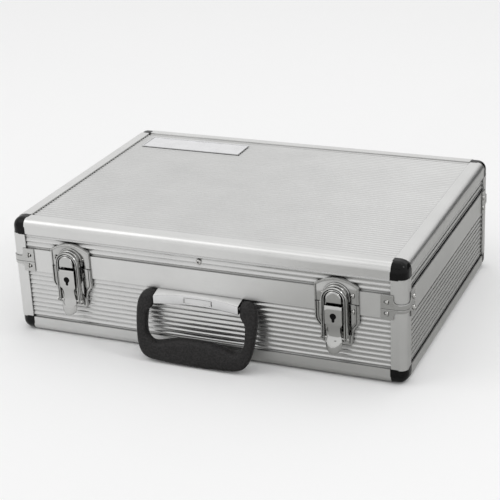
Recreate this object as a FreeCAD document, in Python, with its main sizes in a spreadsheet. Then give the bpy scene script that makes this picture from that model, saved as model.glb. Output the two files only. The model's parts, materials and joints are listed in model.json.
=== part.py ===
import FreeCAD, Part
import os
import re

import Sketcher

# Aluminium attache case, lying on its base. Millimetres, +Z up, the front is -Y.
# The origin is the centre of the face that the case rests on.
# "depth" is measured inwards from an outer plane of the case, "proud" outwards from its front.

SIZES = {
    # overall
    "case_length": 450, "case_depth": 328, "case_height": 133, "split_height": 84.5,
    # edge extrusions and the layers that they hold
    "edge_leg": 16.5, "edge_radius": 8, "lip_wall": 1.5, "skin_thick": 1.8, "board_thick": 4,
    "inner_wall": 1.2, "inner_leg": 14, "lining_thick": 2,
    # ribbed sheet
    "rib_pitch": 5.4, "rib_relief": 0.8, "rib_radius": 3.7,
    # closing frames round the split
    "lid_frame": 15, "body_frame": 11, "tongue_high": 4, "tongue_thick": 1.5, "tongue_depth": 3.5,
    "groove_depth": 5, "frame_overlap": 1.5,
    # corner clips
    "clip_thick": 1.2, "clip_reach": 26.5, "clip_lid_high": 15.3, "clip_body_high": 11.3,
    "clip_lid_band": 6, "clip_body_band": 3.6, "clip_notch": 13, "clip_fillet": 4, "split_gap": 0.15,
    # rivets
    "rivet_head": 2.8, "rivet_proud": 1.1, "rivet_shank": 1.6, "rivet_hollow": 1.2, "fit_gap": 0.05,
    "clip_rivet_in": 21.5, "lid_rivet_up": 7.6, "body_rivet_down": 4.8, "front_rivet_up": 24,
    # latches
    "latch_offset": 152.5, "base_half": 24, "base_foot_half": 16.5, "base_thick": 1.6,
    "base_top": 84.2, "base_shoulder": 62, "base_waist": 51, "base_bottom": 38.5,
    "base_rivet_out": 16, "base_rivet_up": 76.8, "base_rim": 1.2,
    "strike_half": 23.75, "strike_bottom": 84.8, "strike_shoulder": 103.5, "strike_top": 111.5,
    "strike_thick": 2.2, "strike_rivet_out": 15.8, "strike_rivet_up": 94.5,
    "keeper_half": 12.5, "keeper_top": 106, "keeper_proud": 7.3, "keeper_foot": 87.6,
    # bail
    "bail_half": 14, "bail_leg": 3.8, "bail_back": 7.7, "bail_thick": 3.8, "bail_crown": 91,
    "bail_web_bottom": 87.5, "bail_web_thick": 1.5, "dome_half": 8.5, "dome_bottom": 88.5,
    "dome_top": 101.5, "dome_proud": 13, "dome_round": 3,
    # lever
    "lever_half": 9.2, "lever_wall": 1.2, "lever_top": 85.8, "lever_back": 4.5, "lever_face": 13.5,
    "lever_pivot_up": 82, "lever_pivot_out": 9.5, "neck_half": 6.5, "neck_top": 63, "neck_bottom": 50,
    "neck_back": 7, "tab_half": 8.5, "tab_tip": 33, "tab_tip_out": 17, "tab_thick": 2,
    "lever_side_gap": 0.3, "ear_thick": 1.4, "ear_half": 2.2,
    "pin_radius": 1.2, "bail_pin_up": 49, "bail_pin_out": 9.6, "pin_head": 2, "pin_head_thick": 0.9,
    # lock
    "lock_up": 74.5, "plug_radius": 3.3, "key_slot_wide": 1.8, "key_slot_long": 4.4, "key_slot_deep": 4,
    "cam_reach": 5.6, "cam_half": 1.5, "cam_thick": 1.2, "cam_out": 4.3, "lug_out": 6.1, "lug_wall": 1.1,
    "lug_half": 1.6,
    # handle
    "bracket_half": 48.5, "bracket_bottom": 61, "bracket_top": 73.5, "bracket_proud": 14,
    "bracket_hollow": 158, "bracket_mid": 7, "bracket_slope": 3, "recess_half": 16, "recess_high": 6.5,
    "recess_deep": 0.8, "handle_pivot_up": 66, "handle_pivot_out": 8, "handle_tilt": 15.5,
    "handle_pin": 2.5, "handle_pin_in": 6.5, "handle_gap": 0.6, "arm_thick": 13, "arm_wide": 9,
    "handle_top_half": 69, "handle_low_half": 63, "handle_drop": 67, "grip_high": 22, "grip_round": 5,
    "arm_lower_wide": 12, "arm_round": 6.5,
    "screw_out": 38, "screw_radius": 2, "screw_head": 5, "screw_bite": 6,
    # hinges
    "hinge_offset": 135, "hinge_half": 25, "hinge_out": 3.5, "knuckle_radius": 3, "hinge_pin": 1.5,
    "leaf_thick": 1.2, "leaf_gap": 0.4, "leaf_body_high": 10, "leaf_lid_high": 13.5, "hinge_rivet_out": 16,
    "hinge_rivet_down": 7, "hinge_rivet_up": 8,
    # name plate, left bare
    "plate_left": 196, "plate_long": 130, "plate_front": 100, "plate_wide": 35, "plate_thick": 1.4,
    "plate_rim": 1.5, "plate_sink": 0.5,
}

doc = FreeCAD.newDocument("attache_case")
sheet = doc.addObject("Spreadsheet::Sheet", "Sizes")
for row, (alias, number) in enumerate(SIZES.items(), start=1):
    sheet.set(f"A{row}", alias.replace("_", " "))
    sheet.set(f"B{row}", str(number))
    sheet.setAlias(f"B{row}", alias)
doc.recompute()

# Expressions used more than once, in terms of the sheet.
HALF_X = "case_length / 2"
HALF_Y = "case_depth / 2"
SKIN_IN = "(lip_wall + skin_thick)"
BOARD_IN = "(lip_wall + skin_thick + board_thick)"
FRAME_IN = "(lip_wall + skin_thick + board_thick + inner_wall)"
LINING_IN = "(lip_wall + skin_thick + board_thick + inner_wall + lining_thick)"
LID_BOARD_LOW = "split_height + groove_depth + frame_overlap"
BODY_BOARD_HIGH = "split_height - frame_overlap"
FRONT = "-case_depth / 2"
LATCHES = {"left": "-latch_offset", "right": "latch_offset"}
HINGES = {"left": "-hinge_offset", "right": "hinge_offset"}

TURN = {
    "x": FreeCAD.Rotation(FreeCAD.Vector(0, 1, 0), 90),
    "y": FreeCAD.Rotation(FreeCAD.Vector(1, 0, 0), -90),
    "z": FreeCAD.Rotation(),
}
nodes = []


def in_sheet(expression):
    """The expression with each size written as a cell of the sheet."""
    def cell(match):
        word = match.group()
        return "Sizes." + word if word in SIZES else word
    return re.sub(r"[a-z][a-z_]*", cell, expression)


def bind(item, prop, expression):
    item.setExpression(prop, in_sheet(expression))


def size(expression):
    """The expression's present value, read through the sheet."""
    return float(sheet.evalExpression(in_sheet(expression)))


def node(item, label):
    """Names a finished sub-part. Its label is its file's name."""
    item.Label = label
    nodes.append(item)
    return item


# Part primitives and booleans

def box(x, y, z):
    """A box between pairs of low and high expressions along X, Y and Z."""
    item = doc.addObject("Part::Box", "Block")
    for side, axis, (low, high) in zip(("Length", "Width", "Height"), "xyz", (x, y, z)):
        bind(item, side, f"({high}) - ({low})")
        bind(item, "Placement.Base." + axis, low)
    return item


def rod(axis, start, radius, length):
    """A cylinder along +X, +Y or +Z from its start point."""
    item = doc.addObject("Part::Cylinder", "Rod")
    item.Placement = FreeCAD.Placement(FreeCAD.Vector(), TURN[axis])
    bind(item, "Radius", radius)
    bind(item, "Height", length)
    for name, place in zip("xyz", start):
        bind(item, "Placement.Base." + name, place)
    return item


def group(items):
    """Separate solids kept together as one node or one tool."""
    item = doc.addObject("Part::Compound", "Group")
    item.Links = items
    return item


def fuse(items):
    item = doc.addObject("Part::MultiFuse", "Joined")
    item.Shapes = items
    return item


def cut(base, tools):
    item = doc.addObject("Part::Cut", "Trimmed")
    item.Base = base
    item.Tool = tools[0] if len(tools) == 1 else group(tools)
    return item


def mirror(source, axis):
    """The source's image across the plane through the origin that is square to the axis."""
    item = doc.addObject("Part::Mirroring", "Image")
    item.Source = source
    item.Normal = {"x": FreeCAD.Vector(1, 0, 0), "y": FreeCAD.Vector(0, 1, 0)}[axis]
    return item


def both(source, axis):
    return [source, mirror(source, axis)]


def four(source):
    """The source at all four corners."""
    across = mirror(source, "x")
    return [source, across, mirror(source, "y"), mirror(across, "y")]


# PartDesign bodies

def origin_feature(body, role):
    return next(item for item in body.Origin.OriginFeatures if item.Role == role)


def sketch(body, plane, offset):
    item = body.newObject("Sketcher::SketchObject", "Outline")
    item.AttachmentSupport = (origin_feature(body, plane + "_Plane"), [""])
    item.MapMode = "FlatFace"
    bind(item, "AttachmentOffset.Base.z", offset)
    return item


def pin_point(outline, geometry, end, u, v):
    """Holds a sketch point at two expressions, measured from the sketch's origin."""
    for kind, place in (("DistanceX", u), ("DistanceY", v)):
        index = outline.addConstraint(Sketcher.Constraint(kind, -1, 1, geometry, end, size(place)))
        bind(outline, f"Constraints[{index}]", place)


def polygon(body, plane, offset, points):
    """A closed outline of straight lines through points that are pairs of expressions."""
    outline = sketch(body, plane, offset)
    corners = [FreeCAD.Vector(size(u), size(v), 0) for u, v in points]
    count = len(corners)
    lines = [Part.LineSegment(corners[i], corners[(i + 1) % count]) for i in range(count)]
    outline.addGeometry(lines)
    for i, (u, v) in enumerate(points):
        outline.addConstraint(Sketcher.Constraint("Coincident", i, 2, (i + 1) % count, 1))
        pin_point(outline, i, 1, u, v)
    return outline


def circle(body, plane, offset, u, v, radius):
    outline = sketch(body, plane, offset)
    outline.addGeometry(Part.Circle(FreeCAD.Vector(size(u), size(v), 0), FreeCAD.Vector(0, 0, 1), size(radius)))
    index = outline.addConstraint(Sketcher.Constraint("Radius", 0, size(radius)))
    bind(outline, f"Constraints[{index}]", radius)
    pin_point(outline, 0, 3, u, v)
    return outline


def prism(plane, offset, length, points, symmetric=False):
    """A body padded from a polygon: outwards from the plane's offset, or both ways from it."""
    body = doc.addObject("PartDesign::Body", "Prism")
    outline = polygon(body, plane, offset, points)
    pad = body.newObject("PartDesign::Pad", "Pad")
    pad.Profile = outline
    bind(pad, "Length", length)
    if symmetric:
        pad.SideType = "Symmetric"
    doc.recompute()
    return body


def round_edges(body, radius, chosen):
    """Fillets the edges of the body's tip whose middle and direction pass the test."""
    doc.recompute()
    base = body.Tip
    names = []
    for index, edge in enumerate(base.Shape.Edges, start=1):
        along = edge.tangentAt(edge.FirstParameter)
        if chosen(edge.CenterOfMass, along):
            names.append(f"Edge{index}")
    fillet = body.newObject("PartDesign::Fillet", "Fillet")
    fillet.Base = (base, names)
    bind(fillet, "Radius", radius)
    doc.recompute()
    return body


def near(value, expression):
    return abs(value - size(expression)) < 0.01


# Case shell

def ribbed_panel(plane, low, high, length, groove, axis, count):
    """A sheet with round grooves along its length, repeated across it at the rib pitch."""
    (u_low, v_low), (u_high, v_high) = low, high
    corners = [(u_low, v_low), (u_high, v_low), (u_high, v_high), (u_low, v_high)]
    body = prism(plane, "0", length, corners, symmetric=True)
    pocket = body.newObject("PartDesign::Pocket", "Groove")
    pocket.Profile = circle(body, plane, "0", groove[0], groove[1], "rib_radius")
    pocket.SideType = "Symmetric"
    pocket.Type = "ThroughAll"
    doc.recompute()
    ribs = body.newObject("PartDesign::LinearPattern", "Ribs")
    ribs.Originals = [pocket]
    ribs.Direction = (origin_feature(body, axis + "_Axis"), [""])
    ribs.Mode = "Spacing"
    bind(ribs, "Offset", "rib_pitch")
    bind(ribs, "Occurrences", count)
    body.Tip = ribs
    return body


RIB_OUT = "(rib_radius - rib_relief)"


def wall_panels(prefix, low, high, front_holes):
    """The four upright ribbed sheets between two heights, grooved outside."""
    count = f"floor(({high} - ({low}) - 2 * rib_radius) / rib_pitch) + 1"
    first = f"{low} + rib_radius"
    across = {"front": f"{FRONT} + lip_wall", "back": f"{HALF_Y} - lip_wall",
              "left": f"-{HALF_X} + lip_wall", "right": f"{HALF_X} - lip_wall"}
    for side, outer in across.items():
        inward = "+" if side in ("front", "left") else "-"
        outward = "-" if inward == "+" else "+"
        inner = f"{outer} {inward} skin_thick"
        ends = sorted((outer, inner), key=size)
        plane = "YZ" if side in ("front", "back") else "XZ"
        length = "case_length" if plane == "YZ" else "case_depth"
        panel = ribbed_panel(plane, (ends[0], low), (ends[1], high), f"{length} - 2 * edge_radius",
                             (f"{outer} {outward} {RIB_OUT}", first), "Z", count)
        if side == "front" and front_holes:
            panel = cut(panel, front_holes)
        node(panel, f"{prefix}_{side}_panel")


def flat_panel(label, outer, inward):
    """The ribbed sheet of the top or the base, with ribs along X."""
    outward = "-" if inward == "+" else "+"
    ends = sorted((outer, f"{outer} {inward} skin_thick"), key=size)
    edge = f"({HALF_Y} - edge_radius)"
    panel = ribbed_panel("YZ", (f"-{edge}", ends[0]), (edge, ends[1]), "case_length - 2 * edge_radius",
                         (f"-{edge} + rib_radius", f"{outer} {outward} {RIB_OUT}"), "Y",
                         f"floor((2 * {edge} - 2 * rib_radius) / rib_pitch) + 1")
    node(panel, label)


def boards(label, low, high, flat, drills):
    """Four upright boards behind the ribbed sheets, and the board of the top or the base."""
    x_edge = f"{HALF_X} - edge_radius"
    y_edge = f"{HALF_Y} - edge_radius"
    front = box((f"-({x_edge})", x_edge), (f"{FRONT} + {SKIN_IN}", f"{FRONT} + {BOARD_IN}"), (low, high))
    back = mirror(front, "y")
    if drills:
        front = cut(front, drills)
    side = box((f"{HALF_X} - {BOARD_IN}", f"{HALF_X} - {SKIN_IN}"), (f"-({y_edge})", y_edge), (low, high))
    level = box((f"-({x_edge})", x_edge), (f"-({y_edge})", y_edge), flat)
    node(group([front, back, level] + both(side, "x")), label)


def lining(label, low, high, flat):
    """Foam-backed lining plates, one on each inner face."""
    x_in, y_in = f"{HALF_X} - {FRAME_IN}", f"{HALF_Y} - {FRAME_IN}"
    x_edge, y_edge = f"{HALF_X} - {LINING_IN}", f"{HALF_Y} - {LINING_IN}"
    front = box((f"-({x_edge})", x_edge), (f"-({y_in})", f"-({y_edge})"), (low, high))
    side = box((x_edge, x_in), (f"-({y_in})", y_in), (low, high))
    level = box((f"-({x_in})", x_in), (f"-({y_in})", y_in), flat)
    node(group([level] + both(front, "y") + both(side, "x")), label)


def edge_profile(u_outer, u_inward, v_outer, v_inward):
    """Section of an edge extrusion: outer legs, a core in the corner and inner legs for the boards."""
    steps = [("0", "edge_leg"), ("0", "0"), ("edge_leg", "0"), ("edge_leg", "lip_wall"),
             ("edge_radius", "lip_wall"), ("edge_radius", BOARD_IN), ("inner_leg", BOARD_IN),
             ("inner_leg", FRAME_IN), (FRAME_IN, FRAME_IN), (FRAME_IN, "inner_leg"),
             (BOARD_IN, "inner_leg"), (BOARD_IN, "edge_radius"), ("lip_wall", "edge_radius"),
             ("lip_wall", "edge_leg")]
    return [(f"{u_outer} {u_inward} {u}", f"{v_outer} {v_inward} {v}") for u, v in steps]


def level_rails(label, height, inward):
    """The four level edge extrusions of the top or the base, with rounded outer edges."""
    front = prism("YZ", "0", "case_length - 2 * edge_leg", edge_profile(FRONT, "+", height, inward), True)
    round_edges(front, "edge_radius", lambda at, along: near(at.y, FRONT) and near(at.z, height)
                and abs(along.x) > 0.9)
    side = prism("XZ", "0", "case_depth - 2 * edge_leg", edge_profile(HALF_X, "-", height, inward), True)
    round_edges(side, "edge_radius", lambda at, along: near(at.x, HALF_X) and near(at.z, height)
                and abs(along.y) > 0.9)
    node(group(both(front, "y") + both(side, "x")), label)


def corner_posts(label, low, high):
    post = prism("XY", low, f"{high} - ({low})", edge_profile(HALF_X, "-", HALF_Y, "-"))
    round_edges(post, "edge_radius", lambda at, along: near(at.x, HALF_X) and near(at.y, HALF_Y)
                and abs(along.z) > 0.9)
    node(group(four(post)), label)


def frame_rails(label, section, drills):
    """The four rails of a closing frame, with a section given as depth and height pairs."""
    front = prism("YZ", "0", "case_length - 2 * edge_leg", [(f"{FRONT} + {d}", z) for d, z in section], True)
    side = prism("XZ", "0", "case_depth - 2 * edge_leg", [(f"{HALF_X} - {d}", z) for d, z in section], True)
    node(cut(group(both(front, "y") + both(side, "x")), drills), label)


def corner_caps(label, height, inward):
    """Hollow moulded caps over the case's corners, one lip wall thick."""
    outer = [HALF_X, HALF_Y]
    shells = []
    for depth, radius in (("0", "edge_radius"), ("lip_wall", "edge_radius - lip_wall")):
        leg = "edge_leg" if depth == "0" else "(edge_leg + lip_wall)"
        level = f"{height} {inward} {depth}"
        far = f"{height} {inward} {leg}"
        low, high = sorted((level, far), key=size)
        corner = [(f"{u} - {a}", f"{v} - {b}") for (u, v) in [outer]
                  for a, b in ((depth, depth), (leg, depth), (leg, leg), (depth, leg))]
        cube = prism("XY", low, f"{high} - ({low})", corner)
        x_face, y_face = f"{outer[0]} - {depth}", f"{outer[1]} - {depth}"
        round_edges(cube, radius, lambda at, along, x_face=x_face, y_face=y_face, level=level:
                    near(at.x, x_face) + near(at.y, y_face) + near(at.z, level) == 2)
        shells.append(cube)
    node(group(four(cut(shells[0], [shells[1]]))), label)


# Rivets: each stands on a plate, with a hollow head and a shank through what it holds

def rivet(axis, way, place, top, bottom):
    """One rivet along an axis. Its head stands on "top" and its shank ends at "bottom"."""
    index = "xyz".index(axis)
    head_end = f"{top} {way} rivet_proud"
    parts = []
    for radius, near_end, far_end in (("rivet_head", top, head_end), ("rivet_shank", bottom, head_end)):
        low, high = sorted((near_end, far_end), key=size)
        start = list(place)
        start[index] = low
        parts.append(rod(axis, start, radius, f"{high} - ({low})"))
    start = list(place)
    start[index] = sorted((f"{head_end} {'-' if way == '+' else '+'} 0.8 * rivet_proud", head_end), key=size)[0]
    return cut(fuse(parts), [rod(axis, start, "rivet_hollow", "0.8 * rivet_proud")])


def drill(axis, place, low, length, radius="rivet_shank + fit_gap"):
    start = list(place)
    start["xyz".index(axis)] = low
    return rod(axis, start, radius, length)


DRILL_LONG = "(clip_thick + lip_wall + 2)"
CLIP_X = f"({HALF_X} - clip_rivet_in)"
CLIP_Y = f"({HALF_Y} - clip_rivet_in)"


def clip_rivets(label, height):
    """Two rivets in each corner clip, one in each wing."""
    back = rivet("y", "+", (CLIP_X, None, height), f"{HALF_Y} + clip_thick", f"{HALF_Y} - lip_wall")
    side = rivet("x", "+", (None, CLIP_Y, height), f"{HALF_X} + clip_thick", f"{HALF_X} - lip_wall")
    node(group(four(back) + four(side)), label)


def clip_drills(height):
    back = drill("y", (CLIP_X, None, height), f"{HALF_Y} - lip_wall - 1", DRILL_LONG)
    side = drill("x", (None, CLIP_Y, height), f"{HALF_X} - lip_wall - 1", DRILL_LONG)
    return four(back) + four(side)


def corner_clips(label, low, high, band_low, band_high, rivet_height):
    """Plates wrapped round the corner posts. Away from the split each narrows to a band."""
    ends = f"{HALF_X} - clip_reach", f"{HALF_Y} - clip_reach"
    x_in, y_in = HALF_X, HALF_Y
    x_out, y_out = f"{HALF_X} + clip_thick", f"{HALF_Y} + clip_thick"
    strip = prism("XY", low, f"{high} - ({low})", [
        (ends[0], y_in), (x_in, y_in), (x_in, ends[1]), (x_out, ends[1]), (x_out, y_out), (ends[0], y_out)])
    round_edges(strip, "edge_radius", lambda at, along: near(at.x, x_in) and near(at.y, y_in))
    round_edges(strip, "edge_radius + clip_thick",
                lambda at, along: near(at.x, x_out) and near(at.y, y_out))
    upper = size(band_high) < size(high)
    clear_low, clear_high = (band_high, f"{high} + 1") if upper else (f"{low} - 1", band_low)
    notch_x, notch_y = f"{HALF_X} - clip_notch", f"{HALF_Y} - clip_notch"
    clearing = prism("XY", clear_low, f"{clear_high} - ({clear_low})", [
        (notch_x, notch_y), (f"{x_out} + 1", notch_y), (f"{x_out} + 1", f"{y_out} + 1"),
        (notch_x, f"{y_out} + 1")])
    level = clear_low if upper else clear_high
    round_edges(clearing, "clip_fillet", lambda at, along: near(at.z, level)
                and (near(at.x, notch_x) or near(at.y, notch_y)))
    drills = [drill("y", (CLIP_X, None, rivet_height), f"{HALF_Y} - 1", DRILL_LONG),
              drill("x", (None, CLIP_Y, rivet_height), f"{HALF_X} - 1", DRILL_LONG)]
    node(group(four(cut(strip, [clearing] + drills))), label)


# Fixings that pass through the frames

LID_CLIP_UP = "split_height + lid_rivet_up"
BODY_CLIP_UP = "split_height - body_rivet_down"
PROUD = f"{FRONT} -"


def front_rivets(places, top, bottom):
    return [rivet("y", "-", (x, None, z), f"{PROUD} ({top})", f"{FRONT} + {bottom}") for x, z in places]


def front_drills(places, out, inward):
    return [drill("y", (x, None, z), f"{PROUD} ({out})", f"{out} + {inward}") for x, z in places]


def back_drills(places):
    return [drill("y", (x, None, z), f"{HALF_Y} - lip_wall - 1", DRILL_LONG) for x, z in places]


BASE_RIVETS = [(f"{c} {s} base_rivet_out", "base_rivet_up") for c in LATCHES.values() for s in "-+"]
STRIKE_RIVETS = [(f"{c} {s} strike_rivet_out", "strike_rivet_up") for c in LATCHES.values() for s in "-+"]
LID_FRONT_RIVET = [("0", "split_height + front_rivet_up")]
HINGE_BODY_RIVETS = [(f"{c} {s} hinge_rivet_out", "split_height - hinge_rivet_down")
                     for c in HINGES.values() for s in "-+"]
HINGE_LID_RIVETS = [(f"{c} {s} hinge_rivet_out", "split_height + hinge_rivet_up")
                    for c in HINGES.values() for s in "-+"]


def screw_rods(radius, low, high):
    start = f"{FRONT} + {low}"
    rods = [rod("y", (f"{s} screw_out", start, "handle_pivot_up"), radius, f"{high} - ({low})") for s in "-+"]
    return rods


def case_shell():
    board_base = f"{BOARD_IN}"
    screw_holes = screw_rods("screw_radius + fit_gap", "-screw_bite", FRAME_IN)
    wall_panels("body", "edge_radius", BODY_BOARD_HIGH, screw_holes)
    flat_panel("base_panel", "lip_wall", "+")
    boards("body_boards", "edge_radius", BODY_BOARD_HIGH, (SKIN_IN, board_base), screw_holes)
    lining("body_lining", LINING_IN, "split_height - frame_overlap", (FRAME_IN, LINING_IN))
    level_rails("body_bottom_rails", "0", "+")
    corner_posts("body_corner_posts", "edge_leg", "split_height")
    corner_caps("body_corner_caps", "0", "+")
    tongue_out, tongue_in = "tongue_depth", "(tongue_depth + tongue_thick)"
    frame_low = "split_height - body_frame"
    frame_rails("body_frame_rails", [
        ("0", frame_low), ("lip_wall", frame_low), ("lip_wall", BODY_BOARD_HIGH), (BOARD_IN, BODY_BOARD_HIGH),
        (BOARD_IN, frame_low), (FRAME_IN, frame_low), (FRAME_IN, "split_height"),
        (tongue_in, "split_height"), (tongue_in, "split_height + tongue_high"),
        (tongue_out, "split_height + tongue_high"), (tongue_out, "split_height"), ("0", "split_height"),
    ], clip_drills(BODY_CLIP_UP) + front_drills(BASE_RIVETS, "1", "lip_wall + 1")
        + back_drills(HINGE_BODY_RIVETS))
    corner_clips("body_corner_clips", "split_height - clip_body_high", "split_height - split_gap",
                 "split_height - clip_body_band", "split_height - split_gap", BODY_CLIP_UP)
    clip_rivets("body_clip_rivets", BODY_CLIP_UP)

    lid_rivet_hole = front_drills(LID_FRONT_RIVET, "1", f"{SKIN_IN} + 1")
    lid_high = "case_height - edge_radius"
    wall_panels("lid", LID_BOARD_LOW, lid_high, lid_rivet_hole)
    flat_panel("lid_top_panel", "case_height - lip_wall", "-")
    boards("lid_boards", LID_BOARD_LOW, lid_high, (f"case_height - {BOARD_IN}", f"case_height - {SKIN_IN}"), [])
    lining("lid_lining", LID_BOARD_LOW, f"case_height - {LINING_IN}",
           (f"case_height - {LINING_IN}", f"case_height - {FRAME_IN}"))
    level_rails("lid_top_rails", "case_height", "-")
    corner_posts("lid_corner_posts", "split_height", "case_height - edge_leg")
    corner_caps("lid_corner_caps", "case_height", "-")
    frame_high = "split_height + lid_frame"
    web_low, web_high = "split_height + groove_depth", LID_BOARD_LOW
    frame_rails("lid_frame_rails", [
        ("0", "split_height"), ("lip_wall", "split_height"), ("lip_wall", web_low), (BOARD_IN, web_low),
        (BOARD_IN, "split_height"), (FRAME_IN, "split_height"), (FRAME_IN, frame_high),
        (BOARD_IN, frame_high), (BOARD_IN, web_high), ("lip_wall", web_high), ("lip_wall", frame_high),
        ("0", frame_high),
    ], clip_drills(LID_CLIP_UP) + front_drills(STRIKE_RIVETS, "1", "lip_wall + 1")
        + back_drills(HINGE_LID_RIVETS))
    corner_clips("lid_corner_clips", "split_height + split_gap", "split_height + clip_lid_high",
                 "split_height + split_gap", "split_height + clip_lid_band", LID_CLIP_UP)
    clip_rivets("lid_clip_rivets", LID_CLIP_UP)
    node(group(front_rivets(LID_FRONT_RIVET, "-lip_wall", SKIN_IN)), "lid_front_rivet")


def name_plate():
    """A bare plate with a raised rim, on the ribs of the top."""
    x_low, x_high = "-plate_left", "-plate_left + plate_long"
    y_low, y_high = "plate_front", "plate_front + plate_wide"
    z_low = "case_height - lip_wall"
    z_high = f"{z_low} + plate_thick"
    plate = box((x_low, x_high), (y_low, y_high), (z_low, z_high))
    sunk = box((f"{x_low} + plate_rim", f"{x_high} - plate_rim"),
               (f"{y_low} + plate_rim", f"{y_high} - plate_rim"), (f"{z_high} - plate_sink", z_high))
    node(cut(plate, [sunk]), "name_plate")


# Latches

def latch_base(side, centre):
    """Waisted plate with raised rims, two ears for the lever's pin and a lug for the lock's cam."""
    foot = "(base_foot_half)"
    outline = [(f"{centre} + {u}", v) for u, v in (
        ("base_half", "base_top"), ("base_half", "base_shoulder"), (foot, "base_waist"),
        (foot, "base_bottom"), (f"-{foot}", "base_bottom"), (f"-{foot}", "base_waist"),
        ("-base_half", "base_shoulder"), ("-base_half", "base_top"))]
    plate = prism("XZ", f"{HALF_Y} - lip_wall", "base_thick + lip_wall", outline)
    round_edges(plate, "edge_radius - 3", lambda at, along: abs(along.y) > 0.9 and size("base_waist") - 1 < at.z
                < size("base_shoulder") + 1)
    frame_room = box((f"{centre} - base_half - 1", f"{centre} + base_half + 1"),
                     (FRONT, f"{FRONT} + lip_wall + 1"), ("split_height - body_frame", "base_top + 1"))
    y_plate = f"{PROUD} base_thick"
    extras = []
    for way in "-+":
        rim = sorted((f"{centre} {way} base_half", f"{centre} {way} (base_half - base_rim)"), key=size)
        extras.append(box(rim, (f"{y_plate} - base_rim", y_plate), ("base_shoulder + 1", "base_top")))
        ear_out = f"{centre} {way} (lever_half - lever_wall - lever_side_gap)"
        ear = sorted((ear_out, f"{centre} {way} (lever_half - lever_wall - lever_side_gap - ear_thick)"), key=size)
        extras.append(box(ear, (f"{PROUD} lever_pivot_out", y_plate),
                          ("lever_pivot_up - ear_half", "lever_pivot_up + 0.7 * ear_half")))
        extras.append(rod("x", (ear[0], f"{PROUD} lever_pivot_out", "lever_pivot_up"),
                          "0.7 * ear_half", "ear_thick"))
    lug = (f"{centre} + lug_out", f"{centre} + lug_out + lug_wall")
    lug_low, lug_high = "lock_up - lug_half", "lock_up + lug_half"
    roof_low = "(cam_out + cam_thick + 0.4)"
    extras.append(box(lug, (f"{PROUD} {roof_low} - lug_wall", y_plate), (lug_low, lug_high)))
    extras.append(box((f"{centre} + plug_radius + 0.7", lug[1]),
                      (f"{PROUD} {roof_low} - lug_wall", f"{PROUD} {roof_low}"), (lug_low, lug_high)))
    rivets = front_drills([(f"{centre} {s} base_rivet_out", "base_rivet_up") for s in "-+"],
                          "base_thick + 1", "2")
    pin = rod("x", (f"{centre} - lever_half", f"{PROUD} lever_pivot_out", "lever_pivot_up"),
              "pin_radius + fit_gap", "2 * lever_half")
    node(cut(fuse([cut(plate, [frame_room])] + extras), rivets + [pin]), f"latch_base_{side}")


def strike_plate(side, centre):
    """Arched plate on the lid with a raised pad that the bail closes over."""
    steps = [step / 4 for step in range(-4, 5)]
    arch = [(f"{centre} + {step} * strike_half",
             f"strike_top - {step * step} * (strike_top - strike_shoulder)") for step in steps]
    arch += [(f"{centre} + strike_half", "strike_bottom"), (f"{centre} - strike_half", "strike_bottom")]
    plate = prism("XZ", f"{HALF_Y} - lip_wall", "strike_thick + lip_wall", arch)
    frame_room = box((f"{centre} - strike_half - 1", f"{centre} + strike_half + 1"),
                     (FRONT, f"{FRONT} + lip_wall + 1"), ("strike_bottom - 1", "split_height + lid_frame"))
    pad = prism("XZ", f"{HALF_Y} + strike_thick", "keeper_proud - strike_thick", [
        (f"{centre} - keeper_half", "keeper_foot"), (f"{centre} + keeper_half", "keeper_foot"),
        (f"{centre} + keeper_half", "bail_crown + 3"), (f"{centre} + 0.75 * keeper_half", "keeper_top - 4"),
        (f"{centre} + 0.35 * keeper_half", "keeper_top"), (f"{centre} - 0.35 * keeper_half", "keeper_top"),
        (f"{centre} - 0.75 * keeper_half", "keeper_top - 4"), (f"{centre} - keeper_half", "bail_crown + 3")])
    rivets = front_drills([(f"{centre} {s} strike_rivet_out", "strike_rivet_up") for s in "-+"],
                          "strike_thick + 1", "2")
    node(cut(fuse([cut(plate, [frame_room]), pad]), rivets), f"strike_plate_{side}")


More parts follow.
